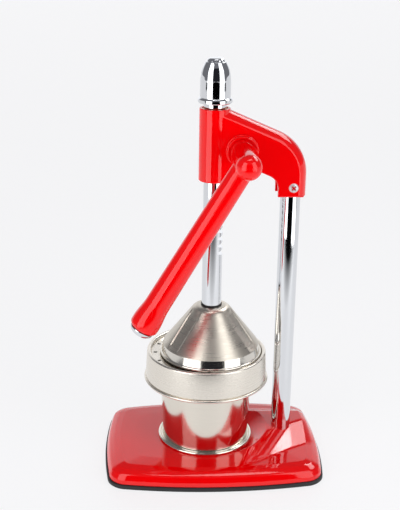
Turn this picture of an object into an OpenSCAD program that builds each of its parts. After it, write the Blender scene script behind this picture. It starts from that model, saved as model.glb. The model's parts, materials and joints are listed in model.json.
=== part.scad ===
// Lever-operated citrus press: a rack-and-pinion ram lowers a bell over a reaming cone.
// Origin: press axis on the table. +Z up, +X towards the column, the lever is on the -Y side.

/* [Frame] */
// Gap between the strainer's lip and the column
throat_gap = 6; // [3:0.5:30]
// Diameter of the column bar
column_d = 20; // [16:0.5:24]
// Height of the top of the head's ram guide above the table
guide_top_z = 368; // [300:1:445]
// Length of the head's ram guide
guide_len = 71; // [66:1:90]
// Width of the head's arm across its two side walls
arm_w = 27.4; // [26:0.2:33]
// Downward slope of the arm's top, in degrees
arm_slope = 23.4; // [18:0.2:28]
// Radius of the bend from the arm down to the column
arm_bend_r = 45; // [42:1:48]
// Depth of the arm, measured square to its top
arm_depth = 41.9; // [40:0.1:44]
// Height of the lower end of the column socket, below the top of the guide
socket_drop = 85; // [80:1:90]
// Thickness of the head's walls
head_wall = 4.5; // [3.5:0.1:5]

/* [Base] */
// Distance from the press axis to the base's free end
base_reach = 109.5; // [91:0.5:132]
// Distance from the column axis to the base's other end
base_tail = 40.8; // [36:0.2:60]
// Depth of the base over its rubber edge
base_d = 165; // [137:1:200]
// How far the middle of the base lies in front of the press axis
base_shift_y = 2.5; // [0:0.5:4]
// Radius of the base's corners
base_corner_r = 14; // [10:1:20]
// How far the long sides bow outwards
side_bow = 10.3; // [2:0.1:12]
// How far the short ends bow outwards
end_bow = 6; // [2:0.1:8]
// Height of the seat that the cup stands on
seat_z = 19.6; // [18:0.1:24]
// Height of the boss around the column's foot
boss_z = 28.5; // [26:0.1:36]
// Wall of the base casting
base_wall = 4; // [3:0.1:5]
// Height of the rubber sole's edge
sole_h = 4.5; // [4:0.1:6]

/* [Drive] */
// Diameter of the ram bar
ram_d = 20; // [16:0.5:24]
// Module of the rack and pinion
gear_module = 2.4; // [2:0.1:2.9]
// Teeth on the pinion
pinion_teeth = 15; // [14:1:18]
// Pressure angle of the teeth, in degrees
pressure_angle = 25; // [22.5:0.5:27]
// Face width of the pinion
pinion_w = 16; // [12:0.5:17]
// Diameter of the pinion shaft
shaft_d = 12; // [10:0.5:14]
// Height of the shaft, below the top of the guide
shaft_drop = 38.4; // [37:0.1:41]
// Teeth of the rack below the shaft at rest
rack_teeth_below = 14; // [12:1:15]

/* [Lever] */
// Angle of the lever forward of straight down, at rest
lever_angle = 30.5; // [10:0.5:60]
// Length of the red lever from the shaft axis to its end
lever_l = 189; // [160:1:230]
// Diameter of the lever at the hub
lever_d1 = 21.8; // [18:0.1:23]
// Diameter of the lever above its flared end
lever_d2 = 24.5; // [20:0.1:27]
// Diameter of the flared end
lever_flare_d = 28.4; // [26:0.1:36]
// Diameter of the lever hub
hub_d = 26; // [24:0.5:30]
// Distance from the press axis to the lever's middle plane
lever_y = 61.5; // [56:0.5:75]

/* [Press] */
// Outer diameter of the bell's rim
bell_d = 104.6; // [87:0.2:126]
// Height of the bell's lower edge above the table, at rest
bell_z = 115.3; // [115:0.1:130]
// Height of the bell
bell_h = 51.7; // [43:0.1:62]
// Diameter at which the bell's cone would reach its top
bell_top_d = 33.6; // [28:0.2:41]
// Radius of the bell's round shoulder
bell_shoulder_r = 8.8; // [7:0.2:12]
// Thickness of the bell's sheet
bell_t = 1.2; // [0.8:0.1:1.6]

/* [Cup and strainer] */
// How far the loose cup stands in front of the press axis, towards the user's left
cup_shift = 4.3; // [0:0.1:5]
// Outer diameter of the cup at its foot
cup_d1 = 88.4; // [74:0.2:94]
// Outer diameter of the cup below its flared mouth
cup_d2 = 94.4; // [79:0.2:100]
// Width of the cup's foot flange
cup_foot_lip = 5; // [2:0.1:8]
// Thickness of the cup's and strainer's sheet
sheet_t = 1; // [0.6:0.1:1.4]
// Radial room between the bell's rim and the strainer's rim
deck_gap = 5.3; // [5.2:0.1:12]
// How much the strainer's skirt widens from its top to its lower edge
skirt_flare = 1.5; // [0.5:0.1:4]
// Height of the strainer's skirt
skirt_h = 31.5; // [26:0.5:38]
// Height of the strainer's raised rim above its deck
rim_h = 4; // [3:0.1:5]
// Number of drain slots in each ring
slot_n = 18; // [12:1:20]
// Room for fruit between the bell's side and the reaming cone
fruit_gap = 17.7; // [14:0.1:22]
// Room for fruit between the bell's top and the reaming cone's tip
crown_gap = 19; // [16:0.5:24]

/* [Hidden] */
$fn = 64;

// Colours
enamel = "#d80a12";
chrome = "#c9ccd0";
stainless = "#b9b4ac";
steel = "#8d9196";
bronze = "#b08d57";
rubber = "#1b1b1d";

// Clearances
run_gap = 0.05;      // radial gap of a turning or sliding fit
rest_gap = 0.1;      // gap under a loose piece that stands on another
stop_gap = 0.3;      // gap between the ram cap and the top of the guide at rest
backlash = 0.3;      // play between the teeth, along the rack
cut = 1;             // how far a cutting shape runs past the surface it opens

// Cup and strainer
bell_r = bell_d / 2;
lip_r = 1.5;
rim_w = 3.4;
slot_l = 3.6;
slot_w = 1.6;
skirt_top_r = bell_r + deck_gap + rim_w;
skirt_r = skirt_top_r + skirt_flare;
mouth_r = skirt_top_r - 2.6;
cup_foot_r = cup_d1 / 2 + cup_foot_lip;
deck_z = bell_z - 1.3;
cup_top_z = deck_z - sheet_t - rest_gap;
cup_z = seat_z + rest_gap;
skirt_z = deck_z + rim_h - skirt_h;

// Bars and bushes
ram_r = ram_d / 2;
column_r = column_d / 2;
throat = skirt_r + lip_r - cup_shift + throat_gap + column_r;
bush_wall = 2.5;
guide_wall = 2.5;
guide_bore_r = ram_r + bush_wall;
guide_r = guide_bore_r + guide_wall;
guide_z = guide_top_z - guide_len;
bush_inset = 0.8;
bush_len = 12;

// Rack and pinion
pitch = PI * gear_module;
pinion_r = gear_module * pinion_teeth / 2;
pinion_tip_r = pinion_r + gear_module;
pinion_root_r = pinion_r - 1.25 * gear_module;
base_circle_r = pinion_r * cos(pressure_angle);
rack_pitch_x = ram_r - gear_module;
shaft_x = rack_pitch_x + pinion_r;
shaft_z = guide_top_z - shaft_drop;
rack_teeth_above = 2;
pinion_gap = 0.8;
shaft_r = shaft_d / 2;
key_w = shaft_d / 3;
key_h = key_w / 2;

// Head
arm_half = arm_w / 2;
cavity_half = arm_half - head_wall;
back_x = throat + column_r + head_wall;
bend_x = back_x - arm_bend_r;
slope_start_z = guide_top_z - 1.9;
bend_in_x = bend_x + arm_bend_r * sin(arm_slope);
bend_z = slope_start_z - tan(arm_slope) * (bend_in_x - guide_r) - arm_bend_r * cos(arm_slope);
socket_z = guide_top_z - socket_drop;
socket_x = throat - column_r - 4;
socket_fillet_r = 15;
under_z = bend_z + (arm_bend_r - arm_depth) / cos(arm_slope);
column_top_z = socket_z + 35;
saddle_x = throat - column_r + 1;
front_boss_r = shaft_r + 9.8;
front_boss_y = arm_half + 8.2;
rear_boss_y = arm_half + 4.3;
shaft_bush_r = shaft_r + 2;

// Clamp screw through the column
clamp_r = 2.5;
clamp_x = throat + 0.9;
clamp_z = socket_z + 9.4;
clamp_head_r = 4.8;
clamp_head_h = 2.6;
clamp_nut_r = 4.6;
clamp_nut_h = 4;

// Base
base_l = base_reach + throat + base_tail;
base_shift_x = base_l / 2 - base_reach;
half_l = base_l / 2 - end_bow;
half_d = base_d / 2 - side_bow;
foot_z = 9;
foot_web = 5;
column_z = foot_z + foot_web;
bolt_r = 4;
bolt_depth = 24;
bolt_head_h = 5.2;
washer_t = 1.6;
foot_r = column_r + 7;
cup_clear = 1.8;
sole_t = 2;
sole_screw_inset = 12;
sole_screw_r = 1.5;
sole_head_r = 3.2;
sole_head_h = 1.7;
sole_head_z = 2.3;
sole_boss_r = 4;
sole_boss_h = 8.6;

// Bell
bead_r = 1.3;
bell_top_r = bell_top_d / 2;
bell_top_z = bell_z + bell_h;
band_r = bell_r - 1.6;
band_top_z = bell_z + 8.4;
cone_angle = atan2(bell_top_z - band_top_z, band_r - bell_top_r);
shoulder_x = bell_top_r - bell_shoulder_r * tan(cone_angle / 2);
shoulder_z = bell_top_z - bell_shoulder_r;
seal_t = 1.5;
seal_r = ram_r + 0.6;
bell_bolt_r = 4;
ram_z = bell_top_z + seal_t;

// Ram cap
cap_z = guide_top_z + stop_gap;
cap_neck_h = 4.7;
cap_flange_h = 5;
cap_flange_r = guide_r + 1.7;
cap_r = guide_r - 0.3;
cap_h = 47.5;
ram_top_z = cap_z + 26;

// Lever hub and arm
hub_r = hub_d / 2;
hub_gap = 0.4;
hub_y1 = front_boss_y + hub_gap;
hub_dome_r = hub_r - 0.8;
hub_dome_y = lever_y + lever_d1 / 2 + 5.6;
spigot_r = 6;
end_cap_h = 7;

// Reaming cone
reamer_r = band_r - fruit_gap;
reamer_h = bell_top_z - crown_gap - deck_z;
cone_seat_r = reamer_r + 5;
cone_hole_r = reamer_r - 1;
reamer_t = 1.2;

// ---------- shared shapes ----------

// A cylinder lying along Y from y1 to y2
module along_y(x, z, r, y1, y2, r2 = -1) {
    translate([x, y1, z])
        rotate([-90, 0, 0])
            cylinder(h = y2 - y1, r1 = r, r2 = r2 < 0 ? r : r2);
}

// An upright cylinder from z1 to z2
module upright(x, y, r, z1, z2) {
    translate([x, y, z1])
        cylinder(h = z2 - z1, r = r);
}

// A side profile in X and Z, given thickness from y1 to y2
module side_plate(points, y1, y2) {
    translate([0, y2, 0])
        rotate([90, 0, 0])
            linear_extrude(y2 - y1)
                polygon(points);
}

// Points on an arc in degrees
function arc(cx, cy, r, a1, a2, n = 10) =
    [for (k = [0:n]) let (a = a1 + (a2 - a1) * k / n) [cx + r * cos(a), cy + r * sin(a)]];

// ---------- base ----------

corner_sides = [[1, 1], [-1, 1], [-1, -1], [1, -1]];

function corner_arc(i, l, d, r) =
    arc(corner_sides[i].x * (l - r), corner_sides[i].y * (d - r), r, 90 * i, 90 * i + 90, 5);

function between(p, q) = [for (k = [1:5]) p + (q - p) * k / 6];

function corner_ring(l, d, r) =
    [for (i = [0:3])
        let (here = corner_arc(i, l, d, r), next = corner_arc((i + 1) % 4, l, d, r))
            each concat(here, between(here[5], next[0]))];

// The base's outline, drawn in by an inset, with every side bowed outwards
function base_outline(inset) =
    let (l = half_l - inset, d = half_d - inset, r = max(base_corner_r - inset / 2, 3))
        [for (p = corner_ring(l, d, r))
            [p.x + sign(p.x) * end_bow * (1 - pow(p.y / d, 2)) + base_shift_x,
             p.y + sign(p.y) * side_bow * (1 - pow(p.x / l, 2)) - base_shift_y]];

module base_slice(inset, z1, z2) {
    translate([0, 0, z1])
        linear_extrude(z2 - z1)
            polygon(base_outline(inset));
}

// The four screws that hold the sole, near the corners
sole_screw_places = [for (s = corner_sides)
    [base_shift_x + s.x * (half_l - sole_screw_inset), s.y * (half_d - sole_screw_inset) - base_shift_y]];

module base_casting() {
    color(enamel)
    difference() {
        union() {
            difference() {
                hull() {
                    base_slice(1.5, sole_h, sole_h + 4.5);
                    base_slice(3.4, sole_h + 7, sole_h + 7.2);
                    base_slice(8.5, seat_z - 2.7, seat_z - 2.6);
                    base_slice(15, seat_z - 0.7, seat_z - 0.6);
                    base_slice(23, seat_z - 0.2, seat_z);
                }
                hull() {
                    base_slice(1.5 + base_wall, sole_h - cut, sole_h + 3);
                    base_slice(10 + base_wall, seat_z - base_wall - 1.5, seat_z - base_wall - 1.4);
                    base_slice(18 + base_wall, seat_z - base_wall - 0.1, seat_z - base_wall);
                }
            }
            difference() {
                translate([throat, 0, seat_z - 7.6])
                    cylinder(h = boss_z - seat_z + 7.6, r1 = foot_r + 18.5, r2 = foot_r);
                upright(-cup_shift, 0, cup_foot_r + cup_clear, seat_z, boss_z + cut);
            }
            upright(throat, 0, foot_r, foot_z, seat_z);
            for (p = sole_screw_places)
                upright(p.x, p.y, sole_boss_r, sole_h, sole_h + sole_boss_h);
        }
        upright(throat, 0, column_r, column_z, boss_z + cut);
        upright(throat, 0, bolt_r + run_gap, foot_z - cut, column_z + cut);
        for (p = sole_screw_places)
            upright(p.x, p.y, sole_screw_r, sole_h - cut, sole_h + sole_boss_h - 1.5);
    }
}

module rubber_sole() {
    color(rubber)
    difference() {
        base_slice(0, 0, sole_h);
        base_slice(1.5 + base_wall + 10, sole_t, sole_h + cut);
        upright(throat, 0, foot_r, sole_t, sole_h + cut);
        for (p = sole_screw_places) {
            upright(p.x, p.y, sole_screw_r + 0.3, -cut, sole_h + cut);
            upright(p.x, p.y, sole_head_r + 0.4, -cut, sole_head_z + 0.1);
        }
    }
}

module sole_screws() {
    color(steel)
    for (p = sole_screw_places)
        difference() {
            union() {
                upright(p.x, p.y, sole_screw_r, sole_head_z, sole_h + sole_boss_h - 2);
                upright(p.x, p.y, sole_head_r, sole_head_z - sole_head_h, sole_head_z);
            }
            for (turn = [0, 90])
                translate([p.x, p.y, sole_head_z - sole_head_h])
                    rotate(turn)
                        cube([4, 0.9, 1.8], center = true);
        }
}

// ---------- column ----------

module column() {
    color(chrome)
    difference() {
        upright(throat, 0, column_r, column_z, column_top_z);
        upright(throat, 0, bolt_r, column_z - cut, column_z + bolt_depth - foot_web);
        along_y(clamp_x, clamp_z, clamp_r + run_gap, -column_r - cut, column_r + cut);
    }
}

module column_bolt() {
    color(steel)
    union() {
        upright(throat, 0, bolt_r, foot_z - washer_t, foot_z + bolt_depth - 1);
        translate([throat, 0, foot_z - washer_t - bolt_head_h])
            cylinder(h = bolt_head_h, r = bolt_r * 1.85, $fn = 6);
    }
}

module column_washer() {
    color(steel)
    difference() {
        upright(throat, 0, bolt_r * 2.2, foot_z - washer_t, foot_z);
        upright(throat, 0, bolt_r + run_gap, foot_z - washer_t - cut, foot_z + cut);
    }
}

// ---------- head ----------

// Height of the arm's under edge above a place along it
function under_edge(x) = under_z - (x - bend_x) * tan(arm_slope);

fillet_x = socket_x - socket_fillet_r;
arch_x = guide_r + 0.72 * (fillet_x + socket_fillet_r * sin(arm_slope) - guide_r);
arch_top_z = under_edge(arch_x);
fillet_z = under_edge(fillet_x) - socket_fillet_r / cos(arm_slope);

// The arm from the side: top and bend, column socket, under edge, arch to the guide
head_side = concat(
    [[0, slope_start_z], [guide_r, slope_start_z]],
    arc(bend_x, bend_z, arm_bend_r, 90 - arm_slope, 0, 12),
    [[back_x, socket_z], [socket_x, socket_z]],
    arc(fillet_x, fillet_z, socket_fillet_r, 0, 90 - arm_slope, 6),
    [for (k = [0:8]) let (a = 90 * k / 8)
        [arch_x - (arch_x - guide_r) * sin(a), guide_z + (arch_top_z - guide_z) * cos(a)]],
    [[0, guide_z]]);

cavity_side = concat(
    [[guide_r, socket_z - 20], [guide_r, slope_start_z - head_wall / cos(arm_slope)]],
    arc(bend_x, bend_z, arm_bend_r - head_wall, 90 - arm_slope,
        acos((saddle_x - bend_x) / (arm_bend_r - head_wall)), 4),
    [[saddle_x, socket_z - 20]]);

module head_casting() {
    color(enamel)
    difference() {
        union() {
            intersection() {
                side_plate(head_side, -arm_half, arm_half);
                union() {
                    translate([-1, -arm_w, 0])
                        cube([throat + 1, 2 * arm_w, guide_top_z]);
                    upright(throat, 0, column_r + head_wall, 0, guide_top_z);
                }
            }
            upright(0, 0, guide_r, guide_z, guide_top_z);
            along_y(shaft_x, shaft_z, front_boss_r, -arm_half - 3.8, -arm_half + cut);
            along_y(shaft_x, shaft_z, front_boss_r - 1, -front_boss_y, -arm_half);
            along_y(shaft_x, shaft_z, front_boss_r - 2, arm_half - cut, rear_boss_y);
        }
        side_plate(cavity_side, -cavity_half, cavity_half);
        upright(0, 0, guide_bore_r, guide_z - cut, guide_top_z + cut);
        along_y(shaft_x, shaft_z, pinion_tip_r + pinion_gap, -cavity_half, cavity_half);
        along_y(shaft_x, shaft_z, shaft_bush_r, -front_boss_y - cut, rear_boss_y + cut);
        upright(throat, 0, column_r, socket_z - cut, column_top_z);
        along_y(clamp_x, clamp_z, clamp_r + run_gap, -arm_half - cut, arm_half + cut);
        along_y(clamp_x, clamp_z, clamp_head_r + 0.7, -arm_half - cut, -arm_half + 0.8);
    }
}

module head_screw() {
    color(chrome)
    difference() {
        union() {
            along_y(clamp_x, clamp_z, clamp_r, -arm_half + 0.8, arm_half + clamp_nut_h + 1);
            along_y(clamp_x, clamp_z, clamp_head_r - 0.7, -arm_half + 0.8 - clamp_head_h, -arm_half + 0.8,
                clamp_head_r);
        }
        for (turn = [0, 90])
            translate([clamp_x, -arm_half + 0.8 - clamp_head_h, clamp_z])
                rotate([0, turn + 45, 0])
                    cube([5, 3, 1.1], center = true);
    }
}

module head_nut() {
    color(chrome)
    difference() {
        translate([clamp_x, arm_half, clamp_z])
            rotate([-90, 0, 0])
                cylinder(h = clamp_nut_h, r = clamp_nut_r, $fn = 6);
        along_y(clamp_x, clamp_z, clamp_r, arm_half - cut, arm_half + clamp_nut_h + cut);
    }
}

module guide_bush(z) {
    color(bronze)
    difference() {
        upright(0, 0, guide_bore_r, z, z + bush_len);
        upright(0, 0, ram_r + run_gap, z - cut, z + bush_len + cut);
    }
}

module guide_bush_lower() {
    guide_bush(guide_z + bush_inset);
}

module guide_bush_upper() {
    guide_bush(guide_top_z - bush_inset - bush_len);
}

module shaft_bush(y1, y2) {
    color(bronze)
    difference() {
        along_y(shaft_x, shaft_z, shaft_bush_r, y1, y2);
        along_y(shaft_x, shaft_z, shaft_r + run_gap, y1 - cut, y2 + cut);
    }
}

module shaft_bush_front() {
    shaft_bush(-front_boss_y, -cavity_half);
}

module shaft_bush_rear() {
    shaft_bush(cavity_half, rear_boss_y);
}

// ---------- ram and bell ----------

// One gap between two rack teeth, cut into the side of the ram
rack_gap_side = let (
        root_x = rack_pitch_x - 1.25 * gear_module,
        half = pitch / 4 + backlash / 4,
        lean = tan(pressure_angle))
    [[root_x, -half + 1.25 * gear_module * lean], [ram_r + cut, -half - (gear_module + cut) * lean],
     [ram_r + cut, half + (gear_module + cut) * lean], [root_x, half - 1.25 * gear_module * lean]];

module ram() {
    color(chrome)
    difference() {
        upright(0, 0, ram_r, ram_z, ram_top_z);
        for (k = [-rack_teeth_above:rack_teeth_below])
            translate([0, 0, shaft_z - k * pitch])
                side_plate(rack_gap_side, -ram_r - cut, ram_r + cut);
        upright(0, 0, bell_bolt_r, ram_z - cut, ram_z + 22);
    }
}

module ram_cap() {
    body_z = cap_z + cap_neck_h + cap_flange_h;
    ogive_z = body_z + 18;
    top_z = cap_z + cap_h;
    button_z = top_z - 4.2;
    color(chrome)
    difference() {
        rotate_extrude()
            polygon(concat(
                [[0, cap_z], [ram_r + 1, cap_z], [ram_r + 1, cap_z + cap_neck_h],
                 [cap_flange_r, cap_z + cap_neck_h], [cap_flange_r, body_z], [cap_r, body_z]],
                [for (k = [0:8]) let (s = k / 8)
                    [cap_r - (cap_r - 9) * pow(s, 2.2), ogive_z + (button_z - ogive_z) * s]],
                [[8.3, button_z + 0.4], [7.4, button_z + 2.2], [4.6, top_z - 0.6], [0, top_z]]));
        upright(0, 0, ram_r, cap_z - cut, ram_top_z + 0.5);
    }
}

module bell() {
    inner_top_z = bell_top_z - bell_t;
    inner_band_z = band_top_z - bell_t * (1 - sin(cone_angle)) / cos(cone_angle);
    color(stainless)
    difference() {
        rotate_extrude($fn = 96)
            polygon(concat(
                [[band_r - bell_t, bell_z], [bell_r, bell_z], [bell_r, bell_z + 2 * bead_r],
                 [band_r, bell_z + 2 * bead_r], [band_r, band_top_z]],
                arc(shoulder_x, shoulder_z, bell_shoulder_r, 90 - cone_angle, 90, 6),
                [[0, bell_top_z], [0, inner_top_z]],
                arc(shoulder_x, shoulder_z, bell_shoulder_r - bell_t, 90, 90 - cone_angle, 6),
                [[band_r - bell_t, inner_band_z]]));
        upright(0, 0, bell_bolt_r + run_gap, inner_top_z - cut, bell_top_z + cut);
    }
}

module bell_seal() {
    color(rubber)
    difference() {
        upright(0, 0, seal_r, bell_top_z, ram_z);
        upright(0, 0, bell_bolt_r + run_gap, bell_top_z - cut, ram_z + cut);
    }
}

module bell_washer() {
    color(steel)
    difference() {
        upright(0, 0, bell_bolt_r * 2, bell_top_z - bell_t - washer_t, bell_top_z - bell_t);
        upright(0, 0, bell_bolt_r + run_gap, bell_top_z - bell_t - washer_t - cut, bell_top_z);
    }
}

module bell_screw() {
    head_z = bell_top_z - bell_t - washer_t;
    color(steel)
    union() {
        upright(0, 0, bell_bolt_r, head_z, ram_z + 21);
        translate([0, 0, head_z - 4])
            cylinder(h = 4, r1 = bell_bolt_r + 0.8, r2 = bell_bolt_r * 1.6);
    }
}

// ---------- pinion and lever ----------

// Polar angle of an involute at a radius
function involute(r) = sqrt(pow(r / base_circle_r, 2) - 1) * 180 / PI - acos(base_circle_r / r);

// Half the angle of a pinion tooth at a radius
function tooth_half(r) = 90 / pinion_teeth - backlash / 4 / pinion_r * 180 / PI
    + involute(pinion_r) - involute(max(r, base_circle_r));

pinion_outline = [for (i = [0:pinion_teeth - 1]) each
    let (mid = 180 + i * 360 / pinion_teeth,
         radii = [for (k = [0:5]) pinion_root_r + (pinion_tip_r - pinion_root_r) * k / 5])
    concat([for (r = radii) r * [cos(mid - tooth_half(r)), sin(mid - tooth_half(r))]],
           [for (k = [5:-1:0]) radii[k] * [cos(mid + tooth_half(radii[k])), sin(mid + tooth_half(radii[k]))]])];

module pinion() {
    color(steel)
    difference() {
        translate([shaft_x, 0, shaft_z])
            side_plate(pinion_outline, -pinion_w / 2, pinion_w / 2);
        along_y(shaft_x, shaft_z, shaft_r, -pinion_w / 2 - cut, pinion_w / 2 + cut);
        translate([shaft_x - key_w / 2, -pinion_w / 2 - cut, shaft_z])
            cube([key_w, pinion_w + 2 * cut, shaft_r + key_h]);
    }
}

module pinion_key() {
    color(steel)
    translate([shaft_x - key_w / 2, -pinion_w / 2, shaft_z + shaft_r - key_h])
        cube([key_w, pinion_w, 2 * key_h]);
}

ring_t = 1;
ring_y = rear_boss_y + 0.3;
shaft_end_y = ring_y + ring_t + 1.5;
hub_bore_y = lever_y - spigot_r - 3;

module pinion_shaft() {
    color(steel)
    difference() {
        along_y(shaft_x, shaft_z, shaft_r, -hub_bore_y, shaft_end_y);
        translate([shaft_x - key_w / 2, -pinion_w / 2, shaft_z + shaft_r - key_h])
            cube([key_w, pinion_w, key_h + cut]);
        difference() {
            along_y(shaft_x, shaft_z, shaft_r + cut, ring_y, ring_y + ring_t);
            along_y(shaft_x, shaft_z, shaft_r - 0.8, ring_y - cut, ring_y + ring_t + cut);
        }
    }
}

module shaft_ring() {
    color(steel)
    difference() {
        along_y(shaft_x, shaft_z, shaft_r + 2.2, ring_y, ring_y + ring_t);
        along_y(shaft_x, shaft_z, shaft_r - 0.8, ring_y - cut, ring_y + ring_t + cut);
        translate([shaft_x - 2, ring_y - cut, shaft_z - shaft_r - 3])
            cube([4, ring_t + 2 * cut, 6]);
    }
}

// Places children so that their +Z runs out along the lever from the shaft axis
module along_lever() {
    translate([shaft_x, -lever_y, shaft_z])
        rotate([0, 180 + lever_angle, 0])
            children();
}

module lever_hub() {
    color(enamel)
    difference() {
        union() {
            along_y(shaft_x, shaft_z, hub_dome_r, -hub_dome_y, -hub_y1, hub_r);
            translate([shaft_x, -hub_dome_y, shaft_z])
                sphere(r = hub_dome_r);
        }
        along_y(shaft_x, shaft_z, shaft_r, -hub_bore_y, 0);
        along_lever()
            cylinder(h = hub_r + cut, r = spigot_r);
        translate([shaft_x, -hub_y1 - 8, shaft_z])
            rotate([0, 110, 0])
                cylinder(h = hub_r + cut, r = 2.5);
    }
}

module lever_grub_screw() {
    color(steel)
    translate([shaft_x, -hub_y1 - 8, shaft_z])
        rotate([0, 110, 0])
            difference() {
                translate([0, 0, shaft_r])
                    cylinder(h = hub_r - shaft_r - 1.2, r = 2.5);
                translate([0, 0, hub_r - 3.4])
                    cylinder(h = 3, r = 1.5, $fn = 6);
            }
}

module lever_arm() {
    flare_r = lever_flare_d / 2;
    color(enamel)
    difference() {
        union() {
            along_lever()
                rotate_extrude()
                    polygon(concat(
                        [[0, 4], [lever_d1 / 2, 4], [lever_d1 / 2, hub_r + 2],
                         [lever_d2 / 2, lever_l - 30]],
                        [for (k = [1:6]) let (s = k / 6)
                            [lever_d2 / 2 + (flare_r - lever_d2 / 2) * (1 - cos(180 * s)) / 2,
                             lever_l - 30 + 22 * s]],
                        arc(flare_r - 5, lever_l - 5, 5, 0, 70, 4),
                        [[0, lever_l]]));
        }
        difference() {
            along_y(shaft_x, shaft_z, hub_r, -hub_dome_y - hub_r, 0, hub_r);
            along_lever()
                cylinder(h = hub_r + cut, r = spigot_r);
        }
        along_lever()
            translate([0, 0, lever_l - 4])
                cylinder(h = 4 + cut, r = flare_r - 5.5);
    }
}

module lever_end_cap() {
    cap_plug_r = lever_flare_d / 2 - 5.5;
    button_r = lever_flare_d / 2 - 2.4;
    color(chrome)
    along_lever()
        rotate_extrude()
            polygon(concat(
                [[0, lever_l - 4], [cap_plug_r, lever_l - 4], [cap_plug_r, lever_l], [button_r, lever_l]],
                [for (k = [1:7]) let (a = 90 * k / 7)
                    [button_r * cos(a), lever_l + end_cap_h * sin(a)]]));
}

// ---------- cup, strainer and reaming cone ----------

module juice_cup() {
    t = sheet_t;
    flare_z = skirt_z + 2;
    mouth_z = flare_z + 12;
    color(stainless)
    translate([-cup_shift, 0, 0])
        rotate_extrude($fn = 96)
            polygon([[0, cup_z], [cup_foot_r, cup_z], [cup_foot_r, cup_z + 1.6],
                     [cup_d1 / 2, cup_z + 2.4], [cup_d2 / 2, flare_z], [mouth_r, mouth_z],
                     [mouth_r, cup_top_z], [mouth_r - t, cup_top_z], [mouth_r - t, mouth_z + 0.4 * t],
                     [cup_d2 / 2 - t, flare_z + 0.4 * t], [cup_d1 / 2 - t, cup_z + 2.4],
                     [0, cup_z + 2.4]]);
}

module strainer() {
    t = sheet_t;
    rim_z = deck_z + rim_h;
    color(stainless)
    translate([-cup_shift, 0, 0])
        difference() {
            rotate_extrude($fn = 96)
                polygon(concat(
                    [[cone_hole_r, deck_z - t], [cone_hole_r, deck_z], [skirt_top_r - rim_w, deck_z],
                     [skirt_top_r - rim_w, rim_z - 1.4], [skirt_top_r - rim_w + 1, rim_z - 0.2],
                     [skirt_top_r - 1.6, rim_z], [skirt_top_r - 0.4, rim_z - 0.8],
                     [skirt_top_r, rim_z - 2.2]],
                    [[skirt_r, skirt_z + 2 * lip_r]],
                    arc(skirt_r, skirt_z + lip_r, lip_r, 90, -90, 6),
                    [[skirt_r - t, skirt_z], [skirt_r - t, skirt_z + 2 * lip_r],
                     [skirt_top_r - t, deck_z - t]]));
            for (ring = [0, 1], k = [0:slot_n - 1])
                rotate(360 * (k + ring / 2) / slot_n)
                    translate([skirt_top_r - rim_w - 3.9 - 8 * ring - slot_l / 2, -slot_w / 2, deck_z - t - cut])
                        cube([slot_l, slot_w, t + 2 * cut]);
        }
}

module reamer_cone() {
    t = reamer_t;
    r = reamer_r;
    tip_z = deck_z + reamer_h;
    tip_r = 6;
    lean = atan2(reamer_h - t - tip_r, r - tip_r);
    color(stainless)
    translate([-cup_shift, 0, 0])
        difference() {
            rotate_extrude()
                polygon(concat(
                    [[cone_hole_r - 0.3 - t, deck_z - 4], [cone_hole_r - 0.3, deck_z - 4],
                     [cone_hole_r - 0.3, deck_z], [cone_seat_r, deck_z], [cone_seat_r, deck_z + t],
                     [r, deck_z + t]],
                    arc(0, tip_z - tip_r, tip_r, 90 - lean, 90, 4),
                    arc(0, tip_z - tip_r, tip_r - t, 90, 90 - lean, 4),
                    [[cone_hole_r - 0.3 - t, deck_z]]));
            for (k = [0:11])
                rotate(30 * k)
                    translate([r * 0.55, -0.9, deck_z + t + 1])
                        cube([r, 1.8, reamer_h * 0.38]);
        }
}

base_casting();
rubber_sole();
sole_screws();
column();
column_bolt();
column_washer();
head_casting();
head_screw();
head_nut();
guide_bush_lower();
guide_bush_upper();
shaft_bush_front();
shaft_bush_rear();
ram();
ram_cap();
bell();
bell_seal();
bell_washer();
bell_screw();
pinion();
pinion_shaft();
pinion_key();
shaft_ring();
lever_hub();
lever_grub_screw();
lever_arm();
lever_end_cap();
juice_cup();
strainer();
reamer_cone();
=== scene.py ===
# %% [markdown]
# # A citrus press with a lever
# The press is a red enamelled casting on a chromed column. A rack and pinion in its head
# drives a steel bell down on half a fruit, and the juice drains through a strainer into a cup.
# The moving frame comes packed from CAD. This file only gives it its looks: it loads the frame,
# rebuilds the visible shells as finer meshes in the same places, and lights them.

# %% Load the frame
import json
import math

import bmesh
import bpy
from mathutils import Matrix, Vector


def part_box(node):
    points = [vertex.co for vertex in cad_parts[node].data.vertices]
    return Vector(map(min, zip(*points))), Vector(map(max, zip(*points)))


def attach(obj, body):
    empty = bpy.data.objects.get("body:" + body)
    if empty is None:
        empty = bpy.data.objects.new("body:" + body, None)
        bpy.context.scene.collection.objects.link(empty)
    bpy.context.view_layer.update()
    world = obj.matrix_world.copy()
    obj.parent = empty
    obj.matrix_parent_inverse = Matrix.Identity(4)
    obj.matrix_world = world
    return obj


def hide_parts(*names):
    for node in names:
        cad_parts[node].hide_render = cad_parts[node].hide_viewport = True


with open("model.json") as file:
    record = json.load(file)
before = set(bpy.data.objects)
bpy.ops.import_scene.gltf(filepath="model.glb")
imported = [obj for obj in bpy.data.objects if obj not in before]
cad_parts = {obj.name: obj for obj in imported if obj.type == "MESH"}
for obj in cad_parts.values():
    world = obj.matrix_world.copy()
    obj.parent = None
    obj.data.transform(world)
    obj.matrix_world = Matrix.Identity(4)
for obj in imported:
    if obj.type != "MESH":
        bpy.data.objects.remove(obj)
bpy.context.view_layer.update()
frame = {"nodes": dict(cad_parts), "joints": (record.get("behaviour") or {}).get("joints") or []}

# %% [markdown]
# ## Units
# Blender works in metres, and a maker thinks in millimetres. Every size below is in
# millimetres, and one factor turns it to metres as a mesh or a texture is made.

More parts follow.
